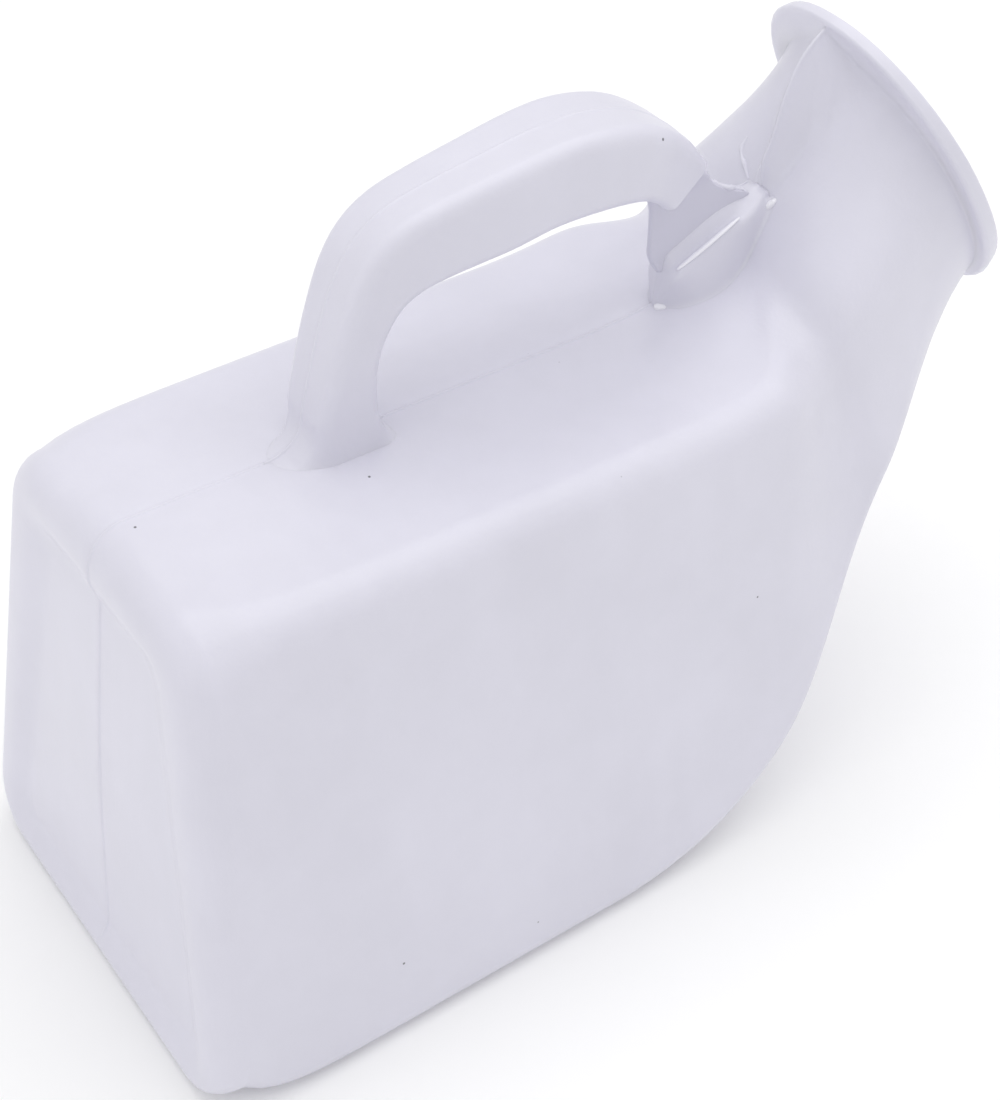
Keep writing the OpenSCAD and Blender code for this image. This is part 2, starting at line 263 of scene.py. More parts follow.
def seamed(rings, rise):
    """The rings with the seam raised out of their skin, above the floor's edge."""
    grid = np.array(rings)
    normal = outward(grid)
    y = grid[:, :, 1]
    clear = ease(np.clip((grid[:, :, 2] - SEAM_LOW_Z) / SEAM_FADE, 0, 1))
    lift = rise * seam_profile(y) * clear * (np.abs(y) <= SEAM_COLUMNS[-1])
    return list(grid + normal * lift[:, :, None])


def softened(rings, passes):
    """The rings with their run along the skin evened out, apart from the first and the last."""
    grid = np.array(rings)
    for _ in range(passes):
        grid[1:-1] = (grid[:-2] + 2 * grid[1:-1] + grid[2:]) / 4
    return list(grid)


def middle_of(points):
    """The middle of the points' box."""
    return (points.max(0) + points.min(0)) / 2


def closed_end(final):
    """Rings that close a flat end by drawing its last ring in to its middle."""
    middle = middle_of(final)
    return [middle + (final - middle) * share for share in CLOSING_SHARES]


def loft(rings):
    """Points and faces of the skin through rings that have the same number of points."""
    count = len(rings[0])
    grid = np.arange(len(rings) * count).reshape(len(rings), count)
    beside = np.roll(grid, -1, axis=1)
    faces = np.stack([grid[:-1], beside[:-1], beside[1:], grid[1:]], axis=-1)
    return np.vstack(rings), faces.reshape(-1, 4).tolist()


# In metres: points closer than the first are one point, and edges below the second are dissolved
SAME_POINT = 5e-6
SHORTEST_EDGE = 1e-7


def make_piece(name, points, faces, material, slot_name):
    """A closed, smooth mesh piece that rides with the bottle."""
    mesh = bpy.data.meshes.new(name)
    inside = np.clip(placed(points), np.array(cad_low), np.array(cad_high))
    mesh.from_pydata(inside.tolist(), [], faces)
    cleaned = bmesh.new()
    cleaned.from_mesh(mesh)
    bmesh.ops.remove_doubles(cleaned, verts=cleaned.verts, dist=SAME_POINT)
    bmesh.ops.dissolve_degenerate(cleaned, edges=cleaned.edges, dist=SHORTEST_EDGE)
    bmesh.ops.recalc_face_normals(cleaned, faces=cleaned.faces)
    if cleaned.calc_volume(signed=True) < 0:
        bmesh.ops.reverse_faces(cleaned, faces=cleaned.faces)
    cleaned.to_mesh(mesh)
    cleaned.free()
    mesh.shade_smooth()
    mesh.materials.append(material)
    piece = bpy.data.objects.new(name, mesh)
    bpy.context.scene.collection.objects.link(piece)
    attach(piece, "root")
    return piece


# ---- Shell: end panel, rim, tank, shoulder, neck and lip ----------------------

# How many steps the skin has along each stretch, and how often its front is softened
PANEL_STEPS = 16
RELIEF_STEPS = 12
RIM_STEPS = 12
TANK_STEPS = 28
SHOULDER_STEPS = 48
NECK_STEPS = 48
INNER_NECK_STEPS = 18
INNER_SHOULDER_STEPS = 24
INNER_TANK_STEPS = 8
FRONT_PASSES = 9


def tank_section(low, high):
    """The tank's section between a point of its floor and a point of its top edge."""
    corner = [FLOOR_CORNER, FLOOR_CORNER]
    top_corner = [TOP_CORNER, TOP_CORNER]
    return Section(low, high, half_w(low[1]), half_w(high[1]), corner, top_corner, TOP_CROWN)


# Shares of the relief's step at the floor, the top and the corners, and of the rim's fillet at
# the top of the sides
STEP_FLOOR = 0.8
STEP_TOP = 0.75
STEP_LOW_CORNER = 0.4
STEP_HIGH_CORNER = 0.3
PULL_HIGH_SIDE = 1.15
LEAST_END_CORNER = 5.0


def end_section(depth, pull=0.0, step=0.0):
    """Parallel to the flat end, at that depth behind it, pulled in from its outline all round,
    and pulled in further by the relief's step, which is narrower at the top and at the floor."""
    shift = depth * math.hypot(END_LEAN, TANK_H) / TANK_H
    high_z = TANK_H - shift * TOP_FALL / (1 + TOP_FALL * END_LEAN / TANK_H)
    low = np.array([shift, 0.0])
    high = np.array([END_LEAN * high_z / TANK_H + shift, high_z])
    up = (high - low) / np.linalg.norm(high - low)
    low_r = max(END_LOW_CORNER - pull - step * STEP_LOW_CORNER, LEAST_END_CORNER)
    high_r = max(END_HIGH_CORNER - pull - step * STEP_HIGH_CORNER, LEAST_END_CORNER)
    crown = TOP_CROWN * max(0, 1 - (pull + step) / (2 * END_R))
    return Section(
        low + up * (pull * LOW_SHARE + step * STEP_FLOOR),
        high - up * (pull + step * STEP_TOP),
        half_w(0) - pull - step,
        half_w(high_z) - pull * PULL_HIGH_SIDE - step,
        [low_r, low_r],
        [high_r, high_r],
        crown,
    )


def shrunk(points, share):
    """A ring of the end panel drawn in towards the panel's middle, which keeps the seam's columns."""
    middle = middle_of(points)
    reach = SEAM_COLUMNS[-1]
    y = points[:, 1]
    outer = np.sign(y) * np.maximum(np.abs(y) - reach, 0)
    inner = y - outer
    result = middle + (points - middle) * share
    result[:, 1] = inner + outer * share
    return result


# The top's edge runs on this far past the floor's before the shoulder starts
TOP_LEAD = 28.0
TANK_START = end_section(END_R)
TANK_END = tank_section([FLOOR_LEN, 0], [FLOOR_LEN + TOP_LEAD, top_z(FLOOR_LEN + TOP_LEAD)])

# The chin's curve up from the floor to the neck, with the length of its two arms
CHIN_END = np.array([173.5, 66])
CHIN_ANGLE = math.radians(66)
CHIN_ARMS = [41, 34]
CHIN = [
    TANK_END.low,
    TANK_END.low + [CHIN_ARMS[0], 0],
    CHIN_END - CHIN_ARMS[1] * direction(CHIN_ANGLE),
    CHIN_END,
]

# The top's curve up to the neck's root, where the section's half widths are ROOT_HALF and its
# corners take these shares of its half width and of its height
ROOT_END = np.array([163, 114])
ROOT_ARM = 18
ROOT_TAIL = [4.5, 8]
ROOT = [TANK_END.high, TANK_END.high + [ROOT_ARM, -ROOT_ARM * TOP_FALL], ROOT_END - ROOT_TAIL, ROOT_END]
ROOT_HALF = [43, 29]
ROOT_LOW_CORNER = [0.45, 0.2]
ROOT_HIGH_CORNER = [0.65, 0.22]

# Shares of the way along the shoulder where it starts to narrow and where its top edge softens
TURN_START = 0.45
FADE_START = 0.35


def shoulder_section(u):
    """The section at share u between the tank and the neck's root."""
    low = cubic(CHIN, u)
    high = cubic(ROOT, u)
    height = np.linalg.norm(high - low)
    turn = ease(max(0, (u - TURN_START) / (1 - TURN_START)))
    fade = ease(max(0, (u - FADE_START) / (1 - FADE_START)))
    low_half = mix(half_w(low[1]), ROOT_HALF[0], turn)
    high_half = mix(half_w(high[1]), ROOT_HALF[1], turn)
    return Section(
        low,
        high,
        low_half,
        high_half,
        [mix(FLOOR_CORNER, low_half * ROOT_LOW_CORNER[0], turn),
         mix(FLOOR_CORNER, height * ROOT_LOW_CORNER[1], turn)],
        [mix(TOP_CORNER, high_half * ROOT_HIGH_CORNER[0], fade),
         mix(TOP_CORNER, height * ROOT_HIGH_CORNER[1], fade)],
        TOP_CROWN * (1 - turn),
    )


def mouth_section(depth, grow, cut=0.0):
    """The mouth's oval at that depth behind its front edge, grown, and cut at its top."""
    axis = direction(MOUTH_TILT)
    up = direction(MOUTH_TILT + math.pi / 2)
    a = MOUTH_W / 2 + grow
    b = MOUTH_H / 2 + grow
    corner = [OVAL * a, OVAL * (b - cut / 2)]
    low = MOUTH_CENTRE - axis * depth - up * b
    high = MOUTH_CENTRE - axis * depth * LIP_TOP_SHARE + up * (b - cut)
    return Section(low, high, a, a, corner, corner)


def neck_mouth(depth, grow=0.0):
    """The neck's oval inside the lip, which overhangs it most at its top."""
    return mouth_section(depth, grow - LIP_PROUD, LIP_OVERHANG)


# The neck's curves from its root to the lip, under it and along its back
NECK_END = neck_mouth(LIP_DEPTH)
NECK_START = shoulder_section(1)
UNDER_ARMS = [14, 20]
UNDER_START_ANGLE = CHIN_ANGLE - math.radians(8)
UNDER_END_ANGLE = math.radians(44)
UNDER = [
    NECK_START.low,
    NECK_START.low + UNDER_ARMS[0] * direction(UNDER_START_ANGLE),
    NECK_END.low - UNDER_ARMS[1] * direction(UNDER_END_ANGLE),
    NECK_END.low,
]
BACK_START = [6, 9]
BACK_ARM = 12
BACK_ANGLE = math.radians(66)
BACK = [
    NECK_START.high,
    NECK_START.high + BACK_START,
    NECK_END.high - BACK_ARM * direction(BACK_ANGLE),
    NECK_END.high,
]


def neck_section(u):
    """The section at share u between the neck's root and the lip."""
    low = cubic(UNDER, u)
    high = cubic(BACK, u)
    height = np.linalg.norm(high - low)
    w = ease(u)
    low_half = mix(ROOT_HALF[0], NECK_END.low_half, w)
    high_half = mix(ROOT_HALF[1], NECK_END.high_half, w)
    return Section(
        low,
        high,
        low_half,
        high_half,
        [low_half * mix(ROOT_LOW_CORNER[0], OVAL, w), height * mix(ROOT_LOW_CORNER[1], OVAL / 2, w)],
        [high_half * mix(ROOT_HIGH_CORNER[0], OVAL, w), height * mix(ROOT_HIGH_CORNER[1], OVAL / 2, w)],
    )


# How fast the flat end's rounder corners give way to the tank's own
END_FADE = 14


def tank_sections(steps):
    """Sections along the tank between its flat end and the shoulder."""
    for u in np.linspace(0, 1, steps + 1):
        low = mix(TANK_START.low, TANK_END.low, u)
        high = mix(TANK_START.high, TANK_END.high, u)
        section = tank_section(low, high)
        blend = (1 - u) ** END_FADE
        section.low_corner = mix(section.low_corner, TANK_START.low_corner, blend)
        section.high_corner = mix(section.high_corner, TANK_START.high_corner, blend)
        yield section


# How sharply the end panel's swelling falls away from its middle
PILLOW_FALL = 1.5


def pillowed(points, section):
    """Points of the end panel, pushed out most at the panel's middle."""
    height = np.linalg.norm(section.high - section.low)
    up = (section.high - section.low) / height
    v = (points[:, 2] - section.low[1]) / up[1] / height
    half = section.low_half + (section.high_half - section.low_half) * v
    spread = np.clip(1 - (points[:, 1] / half) ** 2, 0, 1) * np.clip(4 * v * (1 - v), 0, 1)
    result = points.copy()
    result[:, 0] -= PANEL_PILLOW * spread**PILLOW_FALL
    return result


# How far in from the flat end's outline its flat rim is, before the relief steps down
FLAT_PULL = END_R + 1


def end_rings():
    """From the middle of the end panel over the soft relief and the rim to the tank's start."""
    edge = end_section(PANEL_DEPTH, FLAT_PULL, RELIEF_W)
    panel = ring(edge)
    rings = [pillowed(shrunk(panel, share), edge) for share in np.linspace(0, 1, PANEL_STEPS + 1)]
    for u in shares(RELIEF_STEPS):
        rings.append(ring(end_section(PANEL_DEPTH * (1 - ease(u)), FLAT_PULL, RELIEF_W * (1 - u))))
    for turn in quarter(RIM_STEPS)[::-1]:
        rings.append(ring(end_section(END_R * (1 - math.sin(turn)), END_R * (1 - math.cos(turn)))))
    return rings


# Fillets of the lip's back and front edges, and how far its front stands out of the oval
LIP_BACK_R = 1.3
LIP_FRONT_R = 0.8
LIP_FRONT_GROW = 0.2
LIP_BACK_STEPS = 6
LIP_FRONT_STEPS = 5
LIP_INNER_STEPS = 4


def lip_rings():
    """Round the lip's back edge, over its band and round its front edge into the mouth."""
    rings = []
    for turn in quarter(LIP_BACK_STEPS):
        depth = LIP_DEPTH - LIP_BACK_R + LIP_BACK_R * math.cos(turn)
        grow = LIP_FLARE - LIP_BACK_R + LIP_BACK_R * math.sin(turn)
        rings.append(ring(mouth_section(depth, grow)))
    for turn in quarter(LIP_FRONT_STEPS):
        depth = LIP_FRONT_R * (1 - math.sin(turn))
        grow = -LIP_FRONT_R * (1 - math.cos(turn)) + LIP_FRONT_GROW
        rings.append(ring(mouth_section(depth, grow)))
    for turn in quarter(LIP_INNER_STEPS):
        depth = LIP_FRONT_R * (1 - math.cos(turn))
        grow = LIP_FRONT_R * (1 - math.sin(turn)) - WALL
        rings.append(ring(neck_mouth(depth, grow)))
    return rings


# How fast the gusset reaches its crest, and how sharply it falls away beside it
FIN_ONSET = 5
FIN_FALL = 1.5


def finned(rings):
    """The neck's rings with the gusset that the seam draws up from the neck's back to the lip."""
    result = []
    for u, points in zip(np.linspace(0, 1, len(rings)), rings):
        t = max(0, (u - FIN_START) / (1 - FIN_START))
        back = np.argmax(points[:, 2] - np.abs(points[:, 1]))
        crest = smooth(FIN_CREST, t * (len(FIN_CREST) - 1))
        rise = (crest - points[back][[0, 2]]) * ease(min(1, FIN_ONSET * t))
        half = mix(FIN_HALF[0], FIN_HALF[1], t)
        middle = (points[:, 2].max() + points[:, 2].min()) / 2
        shape = np.clip(1 - np.abs(points[:, 1]) / half, 0, 1) ** FIN_FALL * (points[:, 2] > middle)
        moved = points.copy()
        moved[:, 0] += rise[0] * shape
        moved[:, 2] += rise[1] * shape
        result.append(moved)
    return result


# Depth behind the rim's wall where the inner skin leaves the tank, and where it runs in behind
# the flat rim
INNER_TURN = 2.0
INNER_CLEAR = 0.2
INNER_PANEL_STEPS = 4


def shell_rings():
    """Outer skin from the end panel to the lip, then the inner skin back to the panel."""
    front = [ring(shoulder_section(u)) for u in shares(SHOULDER_STEPS)]
    front += [ring(neck_section(u)) for u in shares(NECK_STEPS)]
    front = softened(front, FRONT_PASSES)
    front = front[:SHOULDER_STEPS] + finned(front[SHOULDER_STEPS:])
    outer = end_rings() + [ring(s) for s in tank_sections(TANK_STEPS)][1:] + front
    inner = [ring(neck_section(u).inset(WALL)) for u in np.linspace(1, 0, INNER_NECK_STEPS + 1)]
    for u in np.linspace(1, 0, INNER_SHOULDER_STEPS + 1)[1:]:
        inner.append(ring(shoulder_section(u).inset(WALL)))
    for section in list(tank_sections(INNER_TANK_STEPS))[-2::-1]:
        inner.append(ring(section.inset(WALL)))
    inner.append(ring(end_section(WALL + INNER_TURN, FLAT_PULL)))
    inner.append(ring(end_section(WALL + INNER_CLEAR, FLAT_PULL + 1)))
    panel = ring(end_section(PANEL_DEPTH + WALL, FLAT_PULL, RELIEF_W))
    inner += [shrunk(panel, share) for share in np.linspace(1, 0, INNER_PANEL_STEPS + 1)]
    return seamed(outer, SEAM_RISE) + lip_rings() + inner


SHELL_SKIN = loft(shell_rings())
SHELL_TREE = BVHTree.FromPolygons([Vector(point) for point in SHELL_SKIN[0]], SHELL_SKIN[1])


def drop(x, y):
    """Height of the shell's skin under a place over its top."""
    start = Vector((float(x), float(y), 2 * TANK_H))
    return SHELL_TREE.ray_cast(start, Vector((0, 0, -1)))[0].z


# ---- Handle --------------------------------------------------------------------

# Stations of the handle from its foot to its front end: a point of its outer edge, a point of
# its inner edge, and half its width at each
HANDLE = np.array([
    [61.3, 117, 74.4, 117, 7.3, 7.3],
    [64, 126, 74.7, 125, 7.8, 7.8],
    [67, 135, 76.8, 131.2, 7.8, 7.8],
    [71, 144.2, 80.7, 136.3, 7.9, 7.9],
    [76, 150.5, 85.4, 138.6, 8.1, 8.1],
    [82.8, 154.2, 91.2, 139.4, 8.4, 8.4],
    [92, 155.9, 97.5, 139.8, 8.8, 8.8],
    [103, 157.1, 104.5, 140.3, 9.3, 9.3],
    [114.2, 158.2, 113, 141.5, 9.7, 9.7],
    [124, 157.9, 121.5, 141.3, 10, 10],
    [134, 155.4, 128.5, 140.4, 9.5, 10],
    [141.4, 150.9, 133.8, 139, 8.5, 9.8],
    [147.5, 145.2, 137.2, 136.8, 6.2, 9.5],
    [152.8, 138.2, 139.3, 134.6, 4.2, 9.2],
])

# Corner radii of the handle's outer and inner sides, its steps and softening passes, its seam,
# and the rounded edge of its front end
HANDLE_OUTER_R = 3.0
HANDLE_INNER_R = 2.4
HANDLE_STEPS = 104
HANDLE_PASSES = 4
HANDLE_SEAM_RISE = 0.14
TIP_R = 0.7
TIP_STEPS = 4
TIP_ANGLE = math.radians(-48)

# How far the foot spreads over the tank's top, to the rear, the front and the sides
FOOT_REAR = 9.0
FOOT_FRONT = 4.0
FOOT_SIDE = 0.3

# The foot's steps, how much less its rear spreads at its sides, and how deep its edge and its
# bed are sunk into the shell
FOOT_STEPS = 14
FOOT_ROUND = 0.95
FOOT_SINK = 0.12
FOOT_BED = 0.6


def handle_section(t, inset=0.0):
    """The handle's section at station t, pulled in by the inset."""
    x, z, inner_x, inner_z, outer_half, inner_half = smooth(HANDLE, t)
    section = Section(
        [inner_x, inner_z],
        [x, z],
        inner_half,
        outer_half,
        [HANDLE_INNER_R, HANDLE_INNER_R],
        [HANDLE_OUTER_R, HANDLE_OUTER_R],
    )
    return section.inset(inset) if inset else section


def foot_rings():
    """The leg's foot, flared down until it lies along the tank's top."""
    collar = ring(handle_section(0))
    middle = middle_of(collar)
    half = (collar.max(0) - collar.min(0)) / 2
    rise = collar[:, 2] - [drop(x, y) for x, y, _ in collar]
    rings = []
    for turn in quarter(FOOT_STEPS)[:0:-1]:
        spread = 1 - math.cos(turn)
        points = collar.copy()
        along = (collar[:, 0] - middle[0]) / half[0]
        rear = FOOT_REAR * (1 - FOOT_ROUND * (collar[:, 1] / half[1]) ** 2)
        points[:, 0] += spread * along * np.where(along < 0, rear, FOOT_FRONT)
        points[:, 1] += spread * collar[:, 1] / half[1] * FOOT_SIDE
        lift = rise * (1 - math.sin(turn)) - FOOT_SINK * spread
        points[:, 2] = [drop(x, y) for x, y, _ in points] + lift
        rings.append(points)
    bed = rings[0] - [0, 0, FOOT_BED]
    return closed_end(bed)[::-1] + [bed] + rings


def handle_rings():
    """From the foot's bed up the leg, along the bar and down to the rounded front end."""
    last = len(HANDLE) - 1
    rings = [ring(handle_section(t)) for t in np.linspace(0, last, HANDLE_STEPS + 1)]
    rings = seamed(foot_rings() + softened(rings, HANDLE_PASSES), HANDLE_SEAM_RISE)
    run = direction(TIP_ANGLE)
    for turn in quarter(TIP_STEPS)[1:]:
        edge = ring(handle_section(last, TIP_R * (1 - math.cos(turn))))
        rings.append(edge + TIP_R * math.sin(turn) * np.array([run[0], 0, run[1]]))
    return rings + closed_end(rings[-1])


# ---- Pinched front of the handle ----------------------------------------------------

# Stations of the boss, from its rear nib to the neck's back: x, half width of its foot, then
# height and half width of its ridges
BOSS = np.array([
    [142.0, 0.3, 106.4, 0.2],
    [142.7, 1.6, 108.8, 1.2],
    [143.7, 3.0, 113.0, 2.7],
    [145.0, 4.2, 115.3, 3.7],
    [147.0, 5.4, 116.2, 4.0],
    [150.0, 6.4, 117.4, 4.0],
    [155.0, 6.8, 119.4, 4.0],
    [161.2, 5.9, 122.0, 4.0],
    [164.5, 5.2, 123.0, 3.7],
    [168.0, 4.4, 124.2, 2.6],
    [170.5, 3.4, 123.4, 1.8],
])

# Steps along the boss, and how far its bed lies below the apron's edge
BOSS_STEPS = 66
BOSS_BED = 2.0

# Half width from which the foot's apron and the ridges' shoulders have their full size, how far
# the apron runs out, and how far the shoulders fall
FULL_HALF = 4
APRON = 1.4
RIDGE_DROP = 1.6

# The crest of pinched plastic between the ridges, and where and how much it sinks to the front
PINCH_RISE = 3.4
PINCH_SINK = 0.8
PINCH_SINK_X = 155
PINCH_SINK_RUN = 12

# Places up the profile of half the boss, close together on its shoulder, where the bead is
PROFILE_RUNS = [(0, 3, 12), (3, 5, 20), (5, 7, 6)]
PROFILE_PLACES = np.unique([t for start, end, steps in PROFILE_RUNS
                            for t in np.linspace(start, end, steps + 1)])

# The bead along each ridge, and the length over which it rises at its ends
BEAD_RISE = 0.5
BEAD_HALF = 0.55
BEAD_START = 145.2
BEAD_END = 161.4
BEAD_RUN = 1.2


def boss_ring(t):
    """Cross-section of the boss: apron, side, soft shoulder with its raised bead, and crest."""
    x, foot, ridge_z, ridge = smooth(BOSS, t)
    apron = APRON * min(1, foot / FULL_HALF)
    share = min(1, ridge / FULL_HALF)
    foot_z = min(drop(x, foot), ridge_z - RIDGE_DROP * share)
    sunk = PINCH_SINK * ease(np.clip((x - PINCH_SINK_X) / PINCH_SINK_RUN, 0, 1))
    rise = PINCH_RISE * share * (1 - sunk)
    # Distance from the middle plane and height, from the apron's edge up to the crest
    profile = np.array([
        [foot + apron, drop(x, foot + apron) - 0.25],
        [foot, foot_z + 0.35],
        [mix(foot, ridge, 0.4) + 0.2 * share, mix(foot_z, ridge_z, 0.4)],
        [ridge + RIDGE_DROP / 2 * share, ridge_z - RIDGE_DROP * share],
        [ridge - 0.1 * share, ridge_z - 0.35 * share],
        [ridge * 0.6, ridge_z + rise * 0.15],
        [ridge * 0.25, ridge_z + rise * 0.75],
        [0, ridge_z + rise],
    ])
    right = np.array([smooth(profile, t) for t in PROFILE_PLACES])
    from_start = ease(np.clip((x - BEAD_START) / BEAD_RUN, 0, 1))
    from_end = ease(np.clip((BEAD_END - x) / BEAD_RUN, 0, 1))
    bead = BEAD_RISE * from_start * from_end * np.exp(-(((right[:, 0] - ridge) / BEAD_HALF) ** 4))
    right[:, 1] += bead
    right = np.column_stack([np.full(len(right), x), right])
    left = right[-2::-1] * [1, -1, 1]
    bed = right[:1] - [0, 0, BOSS_BED]
    return np.vstack([bed, right, left, bed * [1, -1, 1]])


def boss_rings():
    """The boss from its rear nib to the neck's back, closed at both ends."""
    last = len(BOSS) - 1
    rings = [boss_ring(t) for t in np.linspace(0, last, BOSS_STEPS + 1)]
    return closed_end(rings[0])[::-1] + rings + closed_end(rings[-1])


# The web between the handle's front end and the boss: z, x of its rear and front edges, and
# half its thickness, which swells where it joins them
WEB = np.array([
    [114.5, 143.0, 160.0, 1.0],
    [117.0, 141.6, 163.0, 0.8],
    [119.4, 140.9, 165.4, 0.8],
    [122.0, 141.0, 167.6, 0.7],
    [124.6, 141.1, 165.4, 0.7],
    [127.0, 141.2, 160.9, 0.7],
    [129.4, 141.2, 157.6, 0.7],
    [131.4, 140.9, 156.0, 0.9],
    [133.0, 140.8, 155.2, 1.5],
    [135.0, 141.5, 153.6, 2.4],
])
WEB_STEPS = 40
WEB_ROUND = 0.9


def web_rings():
    """The web from inside the boss up into the handle's front end, closed at both ends."""
    last = len(WEB) - 1
    rings = []
    for t in np.linspace(0, last, WEB_STEPS + 1):
        z, rear, front, half = smooth(WEB, t)
        corner = [half * WEB_ROUND, half * WEB_ROUND]
        rings.append(ring(Section([rear, z], [front, z], half, half, corner, corner)))
    return closed_end(rings[0])[::-1] + rings + closed_end(rings[-1])


# A strand's sides, its steps for each point of its path, its thickness as a share of its width,
# the direction that its width stays square to, how sharply its ends taper, and how far to each
# side along the path its course is measured
STRAND_SIDES = 14
STRAND_STEPS = 8
STRAND_FLAT = 0.75
STRAND_LEAN = [0.3, 0.2, 1.0]
STRAND_TAPER = 4
STRAND_LOOK = 0.1


def strand_rings(path, radii, steps):
    """An uneven strand of plastic along a path, tapered to a point at both ends."""
    path = np.array(path, float)
    rings = []
    for t in np.linspace(0, len(path) - 1, steps):
        at = smooth(path, t)
        run = smooth(path, min(t + STRAND_LOOK, len(path) - 1)) - smooth(path, max(t - STRAND_LOOK, 0))
        run = run / np.linalg.norm(run)
        side = np.cross(run, STRAND_LEAN)
        side = side / np.linalg.norm(side)
        up = np.cross(side, run)
        share = t / (len(path) - 1)
        taper = math.sqrt(max(0.0, 1 - (2 * share - 1) ** STRAND_TAPER))
        radius = smooth(np.array(radii, float), share * (len(radii) - 1)) * taper
        turn = np.linspace(0, 2 * math.pi, STRAND_SIDES, endpoint=False)[:, None]
        rings.append(at + radius * (np.cos(turn) * side + STRAND_FLAT * np.sin(turn) * up))
    return rings


# The rough strands left where the waste was trimmed off: the web's edge, then the neck's back.
# Each is a path and the radii along it. A point without a height is laid on the shell.
SCARS = [
    ([[155.6, 0.2, 130.6], [158.0, 0.7, 128.9], [160.4, -0.3, 127.5], [162.8, 0.6, 126.0],
      [164.8, -0.3, 125.2]], [0.5, 0.7, 0.6, 0.8, 0.7, 0.5]),
    ([[174.6, 10.8], [172.9, 10.5], [171.8, 9.2], [171.2, 7.6], [170.5, 6.0], [169.8, 4.4]],
     [0.3, 0.6, 0.4, 0.7, 0.45, 0.6]),
    ([[169.9, 4.2], [168.4, 5.6], [167.6, 8.0], [167.3, 10.6], [167.5, 12.6]], [0.4, 0.7, 0.5, 0.6]),
    ([[176.5, 4.1], [174.0, 3.3], [171.9, 3.0], [170.2, 2.7]], [0.25, 0.5, 0.3]),
]
SCAR_SINK = 0.22

# The beads along the boss's two ridges, and the nibs at the ends of its seam
BEADS = [
    *[([[145.4, 3.7 * side, 115.8], [150.0, 4.0 * side, 117.8], [155.0, 4.0 * side, 119.8],
        [161.0, 4.0 * side, 122.3]], [0.55, 0.6, 0.55]) for side in (-1, 1)],
    ([[144.0, -2.6], [142.9, -1.8], [142.0, -0.9]], [0.8, 1.1, 0.8]),
    ([[167.6, -2.8], [168.7, -3.7], [169.8, -4.5]], [0.7, 1.1, 0.7]),
]
NIB_SINK = 0.1


def strands(table, sink):
    """All the strands of a table as one mesh, with those laid on the shell sunk into it."""
    points = []
    faces = []
    total = 0
    for path, radii in table:
        laid = [[*at[:2], at[2] if len(at) == 3 else drop(*at) - sink] for at in path]
        more, more_faces = loft(strand_rings(laid, radii, STRAND_STEPS * len(path)))
        points.append(more)
        faces += [[corner + total for corner in face] for face in more_faces]
        total += len(more)
    return np.vstack(points), faces


# ---- Materials -------------------------------------------------------------------

# Scales of the plastic's noise, per metre, and the stretch of its flow marks and rub marks
CLOUD_SCALE = 35
MOTTLE_SCALE = 160
GRAIN_SCALE = 1100
DIMPLE_SCALE = 230
PATCH_SCALE = 60
FLOW_STRETCH = (140, 140, 12)
RUB_STRETCH = (1500, 90, 1500)
RUB_TURNS = (0.5, -0.7, 1.9)
RUB_TILT = 0.4
SPECKS_PER_M = 75
SPECK_R = 0.028

# How much of the plastic's light each mark leaves
CLOUD_SHADE = 0.965
MOTTLE_SHADE = 0.988
FLOW_SHADE = 0.992
SCUFF_SHADE = 0.93
SPECK_SHADE = 0.25

# Ranges of the noise over which each mark sets in, and where a speck's dark middle ends
BLEND_RANGE = (0.35, 0.65)
CLOUD_RANGE = (0.3, 0.7)
MOTTLE_RANGE = (0.2, 0.8)
FLOW_RANGE = (0.4, 0.7)
RUB_RANGE = (0.6, 0.85)
PATCH_RANGE = (0.4, 0.8)
SPECK_CORE = 0.6 * SPECK_R

# Heights between which the scuffs thin out above the floor, in metres, and what is left of them
SCUFF_LOW = 0.001
SCUFF_HIGH = 0.006
SCUFF_FAINT = 0.05

# What the clouds, the mottle and the scuffs add to the roughness
CLOUD_ROUGH = (-0.03, 0.04)
MOTTLE_ROUGH = (-0.01, 0.01)
SCUFF_ROUGH = 0.15

# Strength, and depth in metres, of the skin's grain, its dimples and its scuffs
GRAIN_BUMP = (0.16, 0.0002)
DIMPLE_BUMP = (0.15, 0.0002)
SCUFF_BUMP = (0.2, 0.00005)

# How much light soaks into the wall, how far it spreads there, in metres, for each colour, and
# the plastic's refraction
WALL_GLOW = 0.2
GLOW_REACH = 0.0012
GLOW_SPREAD = (1.0, 1.0, 1.0)
PLASTIC_IOR = 1.5


def node_tree(name):
    """A new material, with its nodes and its links."""
    material = bpy.data.materials.new(name)
    material.use_nodes = True
    return material, material.node_tree.nodes, material.node_tree.links


